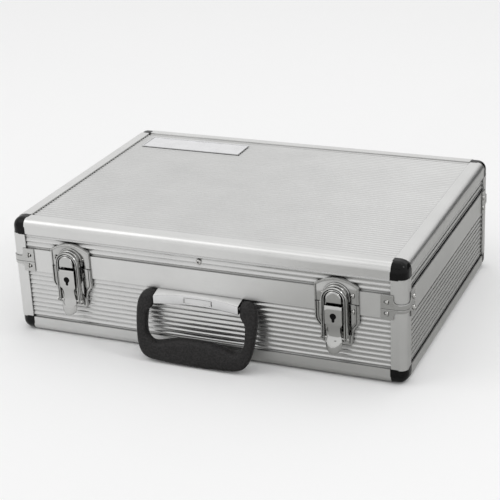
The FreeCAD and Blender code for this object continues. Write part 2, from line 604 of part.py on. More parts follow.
def lever(side, centre):
    """Channel with a lock face at the top, a narrow neck at the bail pin and a curved thumb tab."""
    def wide(half, low, high):
        return box((f"{centre} - {half}", f"{centre} + {half}"), (f"{PROUD} 30", FRONT), (low, high))
    profile = [("lever_back", "lever_top"), ("lever_face - 1", "lever_top"),
               ("lever_face", "lever_top - 1.5"), ("lever_face", "neck_top + 3"),
               ("lever_face - 2.2", "neck_bottom + 5"), ("lever_face - 2.2", "neck_bottom - 4"),
               ("lever_face - 0.6", "neck_bottom - 9"), ("tab_tip_out - 1", "tab_tip + 2"),
               ("tab_tip_out", "tab_tip"), ("tab_tip_out - tab_thick", "tab_tip"),
               ("lever_face - 3", "neck_bottom - 9.5"), ("neck_back", "neck_bottom - 3.5"),
               ("neck_back", "neck_top"), ("lever_back", "neck_top + 3")]
    blank = prism("YZ", centre, "2 * lever_half", [(f"{PROUD} {out}", z) for out, z in profile], True)
    channel = box((f"{centre} - (lever_half - lever_wall)", f"{centre} + (lever_half - lever_wall)"),
                  (f"{PROUD} (lever_face - lever_wall)", FRONT), ("neck_top + 4", "lever_top + 1"))
    sides = []
    for way in "-+":
        notch = sorted((f"{centre} {way} neck_half", f"{centre} {way} (lever_half + 1)"), key=size)
        sides.append(box(notch, (f"{PROUD} 30", FRONT), ("neck_bottom - 4", "neck_top")))
        trim = sorted((f"{centre} {way} tab_half", f"{centre} {way} (lever_half + 1)"), key=size)
        sides.append(box(trim, (f"{PROUD} 30", FRONT), ("tab_tip - 1", "neck_bottom - 4")))
    bores = [
        rod("x", (f"{centre} - 20", f"{PROUD} lever_pivot_out", "lever_pivot_up"), "pin_radius + fit_gap", "40"),
        rod("x", (f"{centre} - 20", f"{PROUD} bail_pin_out", "bail_pin_up"), "pin_radius + fit_gap", "40"),
        rod("y", (centre, f"{PROUD} 30", "lock_up"), "plug_radius + fit_gap", "30"),
    ]
    node(cut(blank, [channel] + sides + bores), f"latch_lever_{side}")


def bail(side, centre):
    """Arched loop over the keeper: two legs down to the lever, a web and a dome in its crown."""
    y_back = f"{PROUD} bail_back"
    y_front = f"{PROUD} (bail_back + bail_thick)"
    crown = rod("y", (centre, y_front, "bail_crown"), "bail_half", "bail_thick")
    foot_low = "bail_pin_up - 0.5 * bail_leg"
    parts = [crown]
    for way in "-+":
        leg = sorted((f"{centre} {way} (bail_half - bail_leg)", f"{centre} {way} bail_half"), key=size)
        parts.append(box(leg, (y_front, y_back), (foot_low, "bail_crown")))
    web = box((f"{centre} - bail_half + 1", f"{centre} + bail_half - 1"),
              (f"{y_back} - bail_web_thick", y_back), ("bail_web_bottom", "bail_crown"))
    inner = f"(bail_half - bail_leg)"
    valley = rod("y", (centre, f"{y_front} - 1", "bail_crown"), inner, "bail_thick + 1 - bail_web_thick")
    valley_low = box((f"{centre} - {inner}", f"{centre} + {inner}"),
                     (f"{y_front} - 1", f"{y_back} - bail_web_thick"), ("bail_web_bottom - 20", "bail_crown"))
    below = box((f"{centre} - {inner}", f"{centre} + {inner}"), (f"{y_front} - 1", f"{y_back} + 1"),
                ("bail_crown - bail_half - 1", "bail_web_bottom"))
    dome = prism("XZ", f"{HALF_Y} + bail_back", "dome_proud - bail_back", [
        (f"{centre} - dome_half", "dome_bottom"), (f"{centre} + dome_half", "dome_bottom"),
        (f"{centre} + dome_half", "dome_top"), (f"{centre} - dome_half", "dome_top")])
    round_edges(dome, "1.8 * dome_round", lambda at, along: abs(along.y) > 0.9 and near(at.z, "dome_top")
                or abs(along.y) > 0.9 and at.z > size("dome_top") - 0.5)
    round_edges(dome, "dome_round", lambda at, along: near(at.y, f"{PROUD} dome_proud"))
    pins = rod("x", (f"{centre} - 20", f"{PROUD} bail_pin_out", "bail_pin_up"), "pin_radius + fit_gap", "40")
    loop = cut(fuse(parts + [web]), [valley, valley_low, below])
    node(cut(fuse([loop, dome]), [pins]), f"latch_bail_{side}")


def lock_plug(side, centre):
    """Key plug flush with the lever's face, with a slot in front and a cam behind."""
    y_face, y_cam = f"{PROUD} lever_face", f"{PROUD} cam_out"
    barrel = rod("y", (centre, y_face, "lock_up"), "plug_radius", "lever_face - cam_out")
    cam = box((f"{centre} - cam_half", f"{centre} + cam_half"), (f"{y_cam} - cam_thick", y_cam),
              ("lock_up - cam_reach", "lock_up"))
    slot = box((f"{centre} - key_slot_wide / 2", f"{centre} + key_slot_wide / 2"),
               (y_face, f"{y_face} + key_slot_deep"), ("lock_up - key_slot_long / 2 - 0.6", "lock_up"))
    hole = rod("y", (centre, y_face, "lock_up"), "key_slot_wide", "key_slot_deep")
    node(cut(fuse([barrel, cam]), [slot, hole]), f"lock_plug_{side}")


def latch_pins(side, centre):
    ears = "lever_half"
    node(rod("x", (f"{centre} - {ears}", f"{PROUD} lever_pivot_out", "lever_pivot_up"), "pin_radius",
             f"2 * {ears}"), f"lever_pin_{side}")
    half = "(bail_half + fit_gap)"
    shaft = rod("x", (f"{centre} - {half}", f"{PROUD} bail_pin_out", "bail_pin_up"), "pin_radius", f"2 * {half}")
    heads = [rod("x", (start, f"{PROUD} bail_pin_out", "bail_pin_up"), "pin_head", "pin_head_thick")
             for start in (f"{centre} - {half} - pin_head_thick", f"{centre} + {half}")]
    node(fuse([shaft] + heads), f"bail_pin_{side}")


def latches():
    for side, centre in LATCHES.items():
        latch_base(side, centre)
        strike_plate(side, centre)
        lever(side, centre)
        bail(side, centre)
        lock_plug(side, centre)
        latch_pins(side, centre)
    node(group(front_rivets(BASE_RIVETS, "base_thick", "lip_wall")), "latch_base_rivets")
    node(group(front_rivets(STRIKE_RIVETS, "strike_thick", "lip_wall")), "strike_rivets")


# Handle

def handle_bracket():
    """Block hollowed in plan, high at its ends, with a bare recess in front."""
    block = prism("YZ", "0", "2 * bracket_half", [
        (f"{FRONT} + lip_wall", "bracket_bottom"), (f"{FRONT} + lip_wall", "bracket_top"),
        (f"{PROUD} (bracket_proud - 2 * bracket_slope)", "bracket_top"),
        (f"{PROUD} bracket_proud", "bracket_top - bracket_slope"), (f"{PROUD} bracket_proud", "bracket_bottom")],
        True)
    hollow = rod("z", ("0", f"{PROUD} (bracket_mid + bracket_hollow)", "bracket_bottom - 1"), "bracket_hollow",
                 "bracket_top - bracket_bottom + 2")
    mid = "(bracket_bottom + bracket_top) / 2"
    recess = box(("-recess_half", "recess_half"), (f"{PROUD} (bracket_mid + 2)", f"{PROUD} (bracket_mid - recess_deep)"),
                 (f"{mid} - recess_high / 2", f"{mid} + recess_high / 2"))
    pins = rod("x", ("-bracket_half - 1", f"{PROUD} handle_pivot_out", "handle_pivot_up"),
               "handle_pin + fit_gap", "handle_pin_in + 1")
    screws = screw_rods("screw_radius + fit_gap", "-screw_bite", FRAME_IN)
    node(cut(block, [hollow, recess] + both(pins, "x") + screws), "handle_bracket")


def bracket_screws():
    """Screws from inside the case, with flat heads on the board."""
    shanks = screw_rods("screw_radius", "-screw_bite", BOARD_IN)
    heads = screw_rods("screw_head", BOARD_IN, FRAME_IN)
    node(group([fuse(pair) for pair in zip(shanks, heads)]), "bracket_screws")


def handle_pins():
    pin = rod("x", ("bracket_half - handle_pin_in", f"{PROUD} handle_pivot_out", "handle_pivot_up"),
              "handle_pin", "handle_pin_in + handle_gap + arm_wide - 2")
    node(group(both(pin, "x")), "handle_pins")


def handle_grip():
    """Bow of arms and grip, drawn hanging straight down from the pivot and then tilted outwards."""
    inner_top = "bracket_half + handle_gap"
    right = [
        (f"{inner_top}", "arm_round"), (f"{inner_top} + arm_wide - 1", "arm_round"),
        ("handle_top_half - 2.5", "0"), ("handle_top_half", "-8"),
        ("handle_top_half - 1", "-0.45 * handle_drop"), ("handle_low_half + 1", "-0.75 * handle_drop"),
        ("handle_low_half - 4", "-handle_drop + 7"), ("handle_low_half - 13", "-handle_drop + 2"),
        ("20", "-handle_drop")]
    left_inner = [
        ("16", "-handle_drop + grip_high"), ("32", "-handle_drop + grip_high - 4"),
        ("handle_low_half - arm_lower_wide - 5", "-handle_drop + grip_high - 3"),
        ("handle_low_half - arm_lower_wide + 2", "-handle_drop + grip_high + 3"),
        ("handle_top_half - arm_lower_wide - 1", "-0.45 * handle_drop"),
        ("handle_top_half - arm_lower_wide - 1", "-13"), (f"{inner_top}", "-7")]
    points = right + [(f"-({u})", v) for u, v in reversed(right)]
    points += [(f"-({u})", v) for u, v in reversed(left_inner)] + left_inner
    bow = prism("XZ", "0", "arm_thick", points, True)
    round_edges(bow, "grip_round", lambda at, along: abs(abs(at.y) - size("arm_thick / 2")) < 0.01
                and at.z < size("-10"))
    side = prism("YZ", "0", "4 * handle_top_half", [
        ("-arm_thick / 2", "-handle_drop - 5"), ("arm_thick / 2", "-handle_drop - 5"),
        ("arm_thick / 2", "arm_round"), ("-arm_thick / 2", "arm_round")], True)
    round_edges(side, "arm_thick / 2 - 0.1", lambda at, along: near(at.z, "arm_round") and abs(along.x) > 0.9)
    trimmed = doc.addObject("Part::Common", "Bow")
    trimmed.Base = bow
    trimmed.Tool = side
    pin = rod("x", (f"{inner_top} - 1", "0", "0"), "handle_pin + fit_gap", "arm_wide")
    grip = cut(trimmed, both(pin, "x"))
    grip.Placement = FreeCAD.Placement(FreeCAD.Vector(0, size(f"{PROUD} handle_pivot_out"), size("handle_pivot_up")),
                                       FreeCAD.Rotation(FreeCAD.Vector(1, 0, 0), -size("handle_tilt")))
    node(grip, "handle_grip")


# Hinges

def hinge_leaf(label, centre, rows, low, high, rivet_height):
    """A leaf on the back face with its knuckles round the hinge line."""
    y_low, y_high = HALF_Y, f"{HALF_Y} + leaf_thick"
    axis_y = f"{HALF_Y} + hinge_out"
    parts = [box((f"{centre} - hinge_half", f"{centre} + hinge_half"), (y_low, y_high), (low, high))]
    pitch = "(2 * hinge_half / 5)"
    web = sorted((low, high, "split_height"), key=size)
    web_pair = (web[0], "split_height") if size(high) < size("split_height") else ("split_height", web[2])
    for row in rows:
        x_low = f"{centre} - hinge_half + {row} * {pitch} + leaf_gap / 2"
        x_high = f"{x_low} + {pitch} - leaf_gap"
        parts.append(box((x_low, x_high), (y_low, y_high), web_pair))
        parts.append(rod("x", (x_low, axis_y, "split_height"), "knuckle_radius", f"{pitch} - leaf_gap"))
    bore = rod("x", (f"{centre} - hinge_half - 1", axis_y, "split_height"), "hinge_pin + fit_gap",
               "2 * hinge_half + 2")
    rivets = back_drills([(f"{centre} {s} hinge_rivet_out", rivet_height) for s in "-+"])
    node(cut(fuse(parts), [bore] + rivets), label)


def hinges():
    for side, centre in HINGES.items():
        hinge_leaf(f"hinge_body_leaf_{side}", centre, (0, 2, 4), "split_height - leaf_body_high",
                   "split_height - knuckle_radius - leaf_gap", "split_height - hinge_rivet_down")
        hinge_leaf(f"hinge_lid_leaf_{side}", centre, (1, 3),
                   "split_height + knuckle_radius + leaf_gap", "split_height + leaf_lid_high", "split_height + hinge_rivet_up")
    node(group([rod("x", (f"{c} - hinge_half", f"{HALF_Y} + hinge_out", "split_height"), "hinge_pin",
                    "2 * hinge_half") for c in HINGES.values()]), "hinge_pins")
    for label, places in (("hinge_body_rivets", HINGE_BODY_RIVETS), ("hinge_lid_rivets", HINGE_LID_RIVETS)):
        node(group([rivet("y", "+", (x, None, z), f"{HALF_Y} + leaf_thick", f"{HALF_Y} - lip_wall")
                    for x, z in places]), label)


def check_and_write():
    """Stops on a failed object or a bad shape, then writes one file for each sub-part."""
    doc.recompute()
    for item in doc.Objects:
        if "Invalid" in item.State or "Error" in item.State:
            raise RuntimeError(f"{item.Name} ({item.Label}) failed: {item.State}")
    for item in nodes:
        if item.Shape.isNull() or not item.Shape.isValid() or not item.Shape.Solids:
            raise RuntimeError(f"{item.Label} has a bad shape")
    os.makedirs("parts", exist_ok=True)
    for item in nodes:
        item.Shape.exportStep(f"parts/{item.Label}.step")


case_shell()
name_plate()
latches()
handle_bracket()
bracket_screws()
handle_pins()
handle_grip()
hinges()
check_and_write()
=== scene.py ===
import json
import math

import bpy
from mathutils import Matrix, Vector


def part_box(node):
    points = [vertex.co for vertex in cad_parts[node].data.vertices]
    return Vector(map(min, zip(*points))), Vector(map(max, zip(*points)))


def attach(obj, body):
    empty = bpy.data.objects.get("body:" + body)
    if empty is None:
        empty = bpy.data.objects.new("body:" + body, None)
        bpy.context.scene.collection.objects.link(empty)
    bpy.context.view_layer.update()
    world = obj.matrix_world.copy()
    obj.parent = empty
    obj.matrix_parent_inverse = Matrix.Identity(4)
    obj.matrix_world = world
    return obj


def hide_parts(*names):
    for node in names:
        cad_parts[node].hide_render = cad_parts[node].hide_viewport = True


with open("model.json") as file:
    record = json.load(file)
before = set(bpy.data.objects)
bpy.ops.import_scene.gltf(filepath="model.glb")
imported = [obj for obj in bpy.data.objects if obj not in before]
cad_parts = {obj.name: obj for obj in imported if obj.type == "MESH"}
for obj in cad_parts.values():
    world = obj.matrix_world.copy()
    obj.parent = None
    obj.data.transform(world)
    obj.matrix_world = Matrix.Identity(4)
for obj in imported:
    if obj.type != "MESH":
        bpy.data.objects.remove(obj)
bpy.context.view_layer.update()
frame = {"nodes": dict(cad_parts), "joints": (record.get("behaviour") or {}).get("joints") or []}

MM = 0.001
NODES = frame["nodes"]
JOINTS = {joint["name"]: joint for joint in frame["joints"]}
SIDES = ("left", "right")

# The shell's own box, without the handle, latches and hinges that stand proud of it.
SHELL_LOW = Vector(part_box("body_bottom_rails")[0])
SHELL_HIGH = Vector(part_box("lid_top_rails")[1])
FRONT = SHELL_LOW.y
LATCH_X = {side: JOINTS[f"latch_{side}_lever"]["pos_m"][0] for side in SIDES}

# Lengths in millimetres that several pieces share. Plates on the front start behind its plane.
PLATE_BACK = -1.4
CAP_LEG, CAP_WALL, CAP_RADIUS, CAP_PROUD = 17.3, 1.5, 10.5, 0.2

# Socket numbers of a colour Mix node.
MIX_FACTOR, MIX_FIRST, MIX_SECOND, MIX_RESULT = 0, 6, 7, 2
POLISH_DEPTH = 0.00002
STAGE_WHITE = (0.9, 0.9, 0.9)


# Materials

class Shader:
    """A material's node tree, with short calls for the nodes used here."""

    def __init__(self, name, colour, metallic, roughness):
        self.material = bpy.data.materials.new(name)
        self.material.use_nodes = True
        self.nodes = self.material.node_tree.nodes
        self.links = self.material.node_tree.links
        self.surface = self.nodes["Principled BSDF"]
        self.surface.inputs["Base Color"].default_value = (*colour, 1)
        self.surface.inputs["Metallic"].default_value = metallic
        self.surface.inputs["Roughness"].default_value = roughness
        self.place = self.nodes.new("ShaderNodeTexCoord").outputs["Object"]

    def noise(self, scale, stretch=(1, 1, 1), detail=4.0):
        """Noise in the object's own space. scale is in cycles per metre, stretched by axis."""
        mapping = self.nodes.new("ShaderNodeMapping")
        mapping.inputs["Scale"].default_value = [scale * part for part in stretch]
        self.links.new(self.place, mapping.inputs["Vector"])
        texture = self.nodes.new("ShaderNodeTexNoise")
        texture.inputs["Scale"].default_value = 1
        texture.inputs["Detail"].default_value = detail
        self.links.new(mapping.outputs["Vector"], texture.inputs["Vector"])
        return texture.outputs["Fac"]

    def span(self, factor, low, high, start=0.3, end=0.7):
        """Maps a factor's middle range to low and high."""
        node = self.nodes.new("ShaderNodeMapRange")
        node.inputs["From Min"].default_value = start
        node.inputs["From Max"].default_value = end
        node.inputs["To Min"].default_value = low
        node.inputs["To Max"].default_value = high
        self.links.new(factor, node.inputs["Value"])
        return node.outputs["Result"]

    def between(self, factor, first, second):
        """Blends two colours by a factor output."""
        node = self.nodes.new("ShaderNodeMix")
        node.data_type = "RGBA"
        node.inputs[MIX_FIRST].default_value = (*first, 1)
        node.inputs[MIX_SECOND].default_value = (*second, 1)
        self.links.new(factor, node.inputs[MIX_FACTOR])
        return node.outputs[MIX_RESULT]

    def painted_gap_shade(self, distance, floor_level):
        """Painted shade: floor_level in tight gaps and 1 in the open, a factor that darkens colour
        between parts where shade falls.
        """
        node = self.nodes.new("ShaderNodeAmbientOcclusion")
        node.samples = 6
        node.inputs["Distance"].default_value = distance
        return self.span(node.outputs["AO"], floor_level, 1, 0.2, 0.85)

    def darken(self, colour, amount):
        """Multiplies a colour output by a factor output."""
        node = self.nodes.new("ShaderNodeVectorMath")
        node.operation = "SCALE"
        self.links.new(colour, node.inputs[0])
        self.links.new(amount, node.inputs["Scale"])
        return node.outputs["Vector"]

    def bump(self, height, depth, strength):
        """Raises the surface by a height output. depth is in metres."""
        node = self.nodes.new("ShaderNodeBump")
        node.inputs["Distance"].default_value = depth
        node.inputs["Strength"].default_value = strength
        self.links.new(height, node.inputs["Height"])
        self.links.new(node.outputs["Normal"], self.surface.inputs["Normal"])

    def feed(self, socket, output):
        """Drives one of the surface's inputs."""
        self.links.new(output, self.surface.inputs[socket])


def drawn_metal(name, colour, roughness, along, groove_shade_reach=2 * MM):
    """Anodised aluminium: fine lines along its drawing direction, faint clouds, and painted shade that
    darkens its grooves.
    """
    shader = Shader(name, colour, 1.0, roughness)
    lines = shader.noise(2600, [0.006 if axis == along else 1 for axis in "xyz"], 3)
    clouds = shader.noise(22)
    pale = [min(1, part * 1.03) for part in colour]
    deep = [part * 0.97 for part in colour]
    tone = shader.between(shader.span(clouds, 0, 1), deep, pale)
    # painted shade: the colour darkens in grooves and narrow gaps
    shader.feed("Base Color", shader.darken(tone, shader.painted_gap_shade(groove_shade_reach, 0.35)))
    shader.feed("Roughness", shader.span(lines, roughness - 0.05, roughness + 0.07))
    shader.bump(lines, 0.00004, 0.35)
    return shader.material


def bright_metal(name, colour, roughness, shade_gap=7 * MM):
    """Plated metal: fine polishing marks, faint smudges, and painted shade that darkens it in gaps
    narrower than the given reach.
    """
    shader = Shader(name, colour, 1.0, roughness)
    marks = shader.noise(900, (1, 1, 0.15), 4)
    smudges = shader.noise(60, detail=6)
    dull = [part * 0.92 for part in colour]
    tone = shader.between(shader.span(smudges, 0, 1, 0.35, 0.75), colour, dull)
    # painted shade: colour darkened towards black in gaps between parts
    shader.feed("Base Color", shader.darken(tone, shader.painted_gap_shade(shade_gap, 0.06)))
    shader.feed("Roughness", shader.span(smudges, roughness - 0.03, roughness + 0.07))
    shader.bump(marks, POLISH_DEPTH, 0.3)
    return shader.material


def moulded_plastic(name, colour, roughness, grain_scale, grain_depth, shine, grain_highlight=1.5):
    """Moulded plastic with a fine grain, whose high spots carry a painted highlight: their colour is
    lighter by the last factor.
    """
    shader = Shader(name, colour, 0.0, roughness)
    grain = shader.noise(grain_scale, detail=3)
    pale = [part * grain_highlight for part in colour]
    # painted highlight: the grain's raised points are coloured lighter
    shader.feed("Base Color", shader.between(shader.span(grain, 0, 1, 0.4, 0.62), colour, pale))
    shader.feed("Roughness", shader.span(grain, roughness - 0.08, roughness + 0.1))
    shader.surface.inputs["Specular IOR Level"].default_value = shine
    shader.bump(grain, grain_depth, 0.6)
    return shader.material


def woven_lining(name, colour):
    """Napped cloth over thin foam."""
    shader = Shader(name, colour, 0.0, 0.95)
    nap = shader.noise(2500, detail=6)
    wander = shader.noise(30)
    pale = [part * 1.9 for part in colour]
    shader.feed("Base Color", shader.between(shader.span(wander, 0, 1), colour, pale))
    shader.surface.inputs["Sheen Weight"].default_value = 0.4
    shader.bump(nap, 0.0004, 0.8)
    return shader.material


def fibreboard(name, colour):
    """Pressed board with fibres along X."""
    shader = Shader(name, colour, 0.0, 0.85)
    fibres = shader.noise(700, (0.3, 1, 1), 6)
    pale = [part * 1.35 for part in colour]
    shader.feed("Base Color", shader.between(shader.span(fibres, 0, 1), colour, pale))
    shader.bump(fibres, 0.0002, 0.6)
    return shader.material


RAIL_GREY = (0.64, 0.64, 0.632)
RIB_GREY = (0.58, 0.58, 0.574)
ALONG_X = drawn_metal("drawn_aluminium_along_x", RAIL_GREY, 0.34, "x")
ALONG_Y = drawn_metal("drawn_aluminium_along_y", RAIL_GREY, 0.34, "y")
ALONG_Z = drawn_metal("drawn_aluminium_along_z", RAIL_GREY, 0.34, "z")
RIBS_X = drawn_metal("ribbed_sheet_along_x", RIB_GREY, 0.27, "x", 5 * MM)
RIBS_Y = drawn_metal("ribbed_sheet_along_y", RIB_GREY, 0.20, "y", 5 * MM)
CHROME = bright_metal("bright_plate", (0.50, 0.50, 0.49), 0.09)
NICKEL = bright_metal("rivet_plate", (0.55, 0.545, 0.53), 0.12, shade_gap=2.5 * MM)
COVER = bright_metal("bracket_plate", (0.66, 0.66, 0.66), 0.07)
PLATE = bright_metal("name_plate_metal", (0.74, 0.74, 0.75), 0.22)
CAP_PLASTIC = moulded_plastic("cap_plastic", (0.004, 0.004, 0.004), 0.16, 1400, 0.00002, 0.14)
GRIP_PLASTIC = moulded_plastic("grip_plastic", (0.006, 0.0056, 0.0056), 0.36, 620, 0.0011, 0.24, 3.4)
# near-black sheet colour that paints the shade inside the keyholes
KEYHOLE_SHADE = moulded_plastic("keyway_dark", (0.004, 0.004, 0.004), 0.6, 1400, 0.00004, 0.05)
LINING = woven_lining("lining_cloth", (0.03, 0.03, 0.033))
BOARD = fibreboard("fibre_board", (0.33, 0.23, 0.14))


def paint(node, material):
    """Gives a whole CAD node one material."""
    item = NODES[node]
    item.data.materials.clear()
    item.data.materials.append(material)


def paint_split(node, rules):
    """Gives each face of a CAD node the material of the first rule, (test, material), it passes."""
    item = NODES[node]
    item.data.materials.clear()
    for _, material in rules:
        item.data.materials.append(material)
    for face in item.data.polygons:
        for index, (test, _) in enumerate(rules):
            if test(face.center):
                face.material_index = index
                break


def soften(node, width):
    """A small bevel on a CAD node's hard edges, so that they catch light."""
    item = NODES[node]
    weld = item.modifiers.new("weld", "WELD")
    weld.merge_threshold = 1e-6
    bevel = item.modifiers.new("bevel", "BEVEL")
    bevel.width = width
    bevel.segments = 2
    bevel.limit_method = "ANGLE"
    bevel.angle_limit = math.radians(40)


def at_long_side(point):
    """True on the front and back of the shell, where extrusions run along X."""
    rail_depth, end_length = 17 * MM, 16.4 * MM
    return abs(point.y) > SHELL_HIGH.y - rail_depth and abs(point.x) < SHELL_HIGH.x - end_length


def finish_cad_nodes():
    """Materials for every CAD node, by its name."""
    for name in NODES:
        if name.endswith("_panel"):
            paint(name, RIBS_Y if "left" in name or "right" in name else RIBS_X)
        elif name.endswith("_posts"):
            paint(name, ALONG_Z)
        elif name.endswith("_rails"):
            paint_split(name, [(at_long_side, ALONG_X), (lambda point: True, ALONG_Y)])
        elif name.endswith("_caps"):
            paint(name, CAP_PLASTIC)
        elif name.endswith("_lining"):
            paint(name, LINING)
        elif name.endswith("_boards"):
            paint(name, BOARD)
        elif name == "name_plate":
            paint(name, PLATE)
        elif "rivet" in name or "pin" in name or "screw" in name:
            paint(name, NICKEL)
        elif name == "handle_grip":
            paint(name, GRIP_PLASTIC)
        elif name == "handle_bracket":
            paint(name, COVER)
        else:
            paint(name, CHROME)
    for name in ("body_corner_clips", "lid_corner_clips", "name_plate"):
        soften(name, 0.25 * MM)


# Mesh pieces that stand for CAD nodes

def piece(name, points, faces, material, body, nodes, crease, levels=0):
    """A finished mesh that rides on a body and stands for CAD nodes, which may be none.

    Points are in metres. Edges above crease degrees stay sharp, and levels are of subdivision.
    """
    mesh = bpy.data.meshes.new(name)
    mesh.from_pydata([tuple(point) for point in points], [], faces)
    mesh.materials.append(material)
    mesh.validate()
    item = bpy.data.objects.new(name, mesh)
    bpy.context.scene.collection.objects.link(item)
    for face in mesh.polygons:
        face.use_smooth = True
    mesh.set_sharp_from_angle(angle=math.radians(crease))
    if levels:
        smooth = item.modifiers.new("smooth", "SUBSURF")
        smooth.levels = smooth.render_levels = levels
    if nodes:
        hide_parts(*nodes)
    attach(item, body)


def front_point(x, up, out):
    """A point from x, height and distance proud of the front, all in millimetres."""
    return Vector((x * MM, FRONT - out * MM, up * MM))


def smooth_curve(points, steps):
    """A Catmull-Rom curve through the points, each a tuple of numbers."""
    padded = [points[0]] + list(points) + [points[-1]]
    curve = []
    for i in range(1, len(padded) - 2):
        for step in range(steps):
            t = step / steps
            weights = ((-t + 2 * t * t - t ** 3) / 2, (2 - 5 * t * t + 3 * t ** 3) / 2,
                       (t + 4 * t * t - 3 * t ** 3) / 2, (-t * t + t ** 3) / 2)
            near_four = padded[i - 1:i + 3]
            curve.append(tuple(sum(w * p[k] for w, p in zip(weights, near_four))
                               for k in range(len(points[0]))))
    curve.append(tuple(points[-1]))
    return curve


def loft(rings, closed_ends=True, around=True):
    """Points and faces of a tube through rings of equal length. around joins each ring's ends."""
    count = len(rings[0])
    points = [point for ring in rings for point in ring]
    faces = []
    for row in range(len(rings) - 1):
        for i in range(count if around else count - 1):
            j = (i + 1) % count
            faces.append((row * count + i, row * count + j, (row + 1) * count + j,
                          (row + 1) * count + i))
    if closed_ends:
        faces.append(tuple(reversed(range(count))))
        faces.append(tuple((len(rings) - 1) * count + i for i in range(count)))
    return points, faces


def slab(outline, low, high, rim):
    """Rings that raise a flat outline of (x, up) from low to high proud of the front.

    The upper edge is rounded by rim.
    """
    rim_steps = 4
    cx = sum(p[0] for p in outline) / len(outline)
    cz = sum(p[1] for p in outline) / len(outline)

    def ring(out, inset):
        placed = []
        for x, z in outline:
            reach = math.hypot(x - cx, z - cz) or 1
            scale = 1 - inset / reach
            placed.append(front_point(cx + (x - cx) * scale, cz + (z - cz) * scale, out))
        return placed
    rings = [ring(low, 0), ring(high - rim, 0)]
    for step in range(1, rim_steps + 1):
        turn = math.pi / (2 * rim_steps) * step
        rings.append(ring(high - rim + rim * math.sin(turn), rim * (1 - math.cos(turn))))
    return rings


def handle_grip():
    """The bow: two arms and a waved grip, lofted along its length from an outer and an inner edge."""
    pivot = Vector(JOINTS["handle_swing"]["pos_m"]) / MM
    tilt = math.radians(15.5)
    half_thick = 6.5
    sides = 20
    # powers below 1 square the round section off
    across_power, deep_power = 0.62, 0.72
    end_thinning, end_narrowing = (0.62, 0.8, 0.92, 0.98), 0.93
    # outer and inner edge pairs from one arm's top to the middle of the grip: x, drop, x, drop
    spans = [(56.5, 6.6, 49.3, 5.6), (63.5, 4.6, 49.2, -1.5), (68.0, -2.5, 50.2, -7.5),
             (69.2, -13, 55.3, -14), (68.6, -26, 56.6, -26), (66.9, -40, 56.0, -36.5),
             (64.6, -51, 52.8, -43.2), (59.0, -60.4, 47.5, -46.6), (50.0, -64.6, 41.5, -46.4),
             (36.0, -66.2, 32.0, -44.0), (20.0, -67.0, 18.0, -40.8), (0.0, -67.2, 0.0, -40.0)]
    half = smooth_curve(spans, 4)
    whole = half + [(-a, b, -c, d) for a, b, c, d in reversed(half[:-1])]
    rings = []
    for index, (outer_x, outer_z, inner_x, inner_z) in enumerate(whole):
        end = min(index, len(whole) - 1 - index)
        thin = end_thinning[end] if end < len(end_thinning) else 1.0
        narrow = end_narrowing if end == 0 else 1
        middle = ((outer_x + inner_x) / 2, (outer_z + inner_z) / 2)
        reach = ((outer_x - inner_x) / 2, (outer_z - inner_z) / 2)
        ring = []
        for step in range(sides):
            turn = math.tau * step / sides
            across, deep = math.cos(turn), math.sin(turn)
            across = math.copysign(abs(across) ** across_power, across) * narrow
            deep = math.copysign(abs(deep) ** deep_power, deep) * half_thick * thin
            x, drop = middle[0] + reach[0] * across, middle[1] + reach[1] * across
            y = pivot.y + drop * math.sin(tilt) - deep * math.cos(tilt)
            z = pivot.z + drop * math.cos(tilt) - deep * math.sin(tilt)
            ring.append(Vector((x, y, z)) * MM)
        rings.append(ring)
    points, faces = loft(rings)
    piece("carrying_handle", points, faces, GRIP_PLASTIC, "handle", ["handle_grip"],
          crease=80, levels=1)


def bracket_cover():
    """Cover between the handle's ends, hollowed along its face, and the rim round its bare panel."""
    low, high = (corner / MM for corner in map(Vector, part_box("handle_bracket")))
    half, bottom, top = high.x, low.z, high.z
    mid_out, end_out = 7.0, 14.0

    def out_at(x):
        return mid_out + (end_out - mid_out) * (abs(x) / half) ** 2

    def section(x):
        out = out_at(x)
        shoulder = top - (1.2 + 1.8 * (abs(x) / half) ** 2)
        return [(PLATE_BACK, bottom), (PLATE_BACK, top), (1.0, top - 0.1), (out - 0.9, shoulder),
                (out - 0.25, shoulder - 0.3), (out, shoulder - 1.0), (out, bottom + 0.8),
                (out - 0.3, bottom + 0.2), (out - 1.0, bottom)]
    columns = [half * step / 24 for step in range(-24, 25)]
    points, faces = loft([[front_point(x, up, out) for out, up in section(x)] for x in columns])
    piece("handle_bracket_cover", points, faces, COVER, "case_body", ["handle_bracket"],
          crease=28)

    rim_half, rim_low, rim_high = 16.0, bottom + 1.9, bottom + 8.4
    foot_proud, rim_proud, field_proud = 0.02, 0.7, 0.06
    columns = [rim_half * step / 12 for step in range(-12, 13)]
    rings = []
    for x in columns:
        inside = rim_proud if abs(x) == rim_half else field_proud
        rings.append([front_point(x, up, out_at(x) + proud) for up, proud in (
            (rim_low, foot_proud), (rim_low, rim_proud), (rim_low + 0.7, rim_proud),
            (rim_low + 1.0, inside), (rim_high - 1.0, inside), (rim_high - 0.7, rim_proud),
            (rim_high, rim_proud), (rim_high, foot_proud))])
    points, faces = loft(rings)
    piece("bracket_bare_panel", points, faces, COVER, "case_body", [], crease=28)


def ridge_strip(path, profile):
    """Sweeps a profile of (sideways, out) pairs along a path of (x, up), in millimetres."""
    rings = []
    for index, (x, z) in enumerate(path):
        before, after = path[max(index - 1, 0)], path[min(index + 1, len(path) - 1)]
        along = Vector((after[0] - before[0], after[1] - before[1])).normalized()
        side = Vector((along.y, -along.x))
        rings.append([front_point(x + side.x * across, z + side.y * across, out)
                      for across, out in profile])
    return loft(rings)


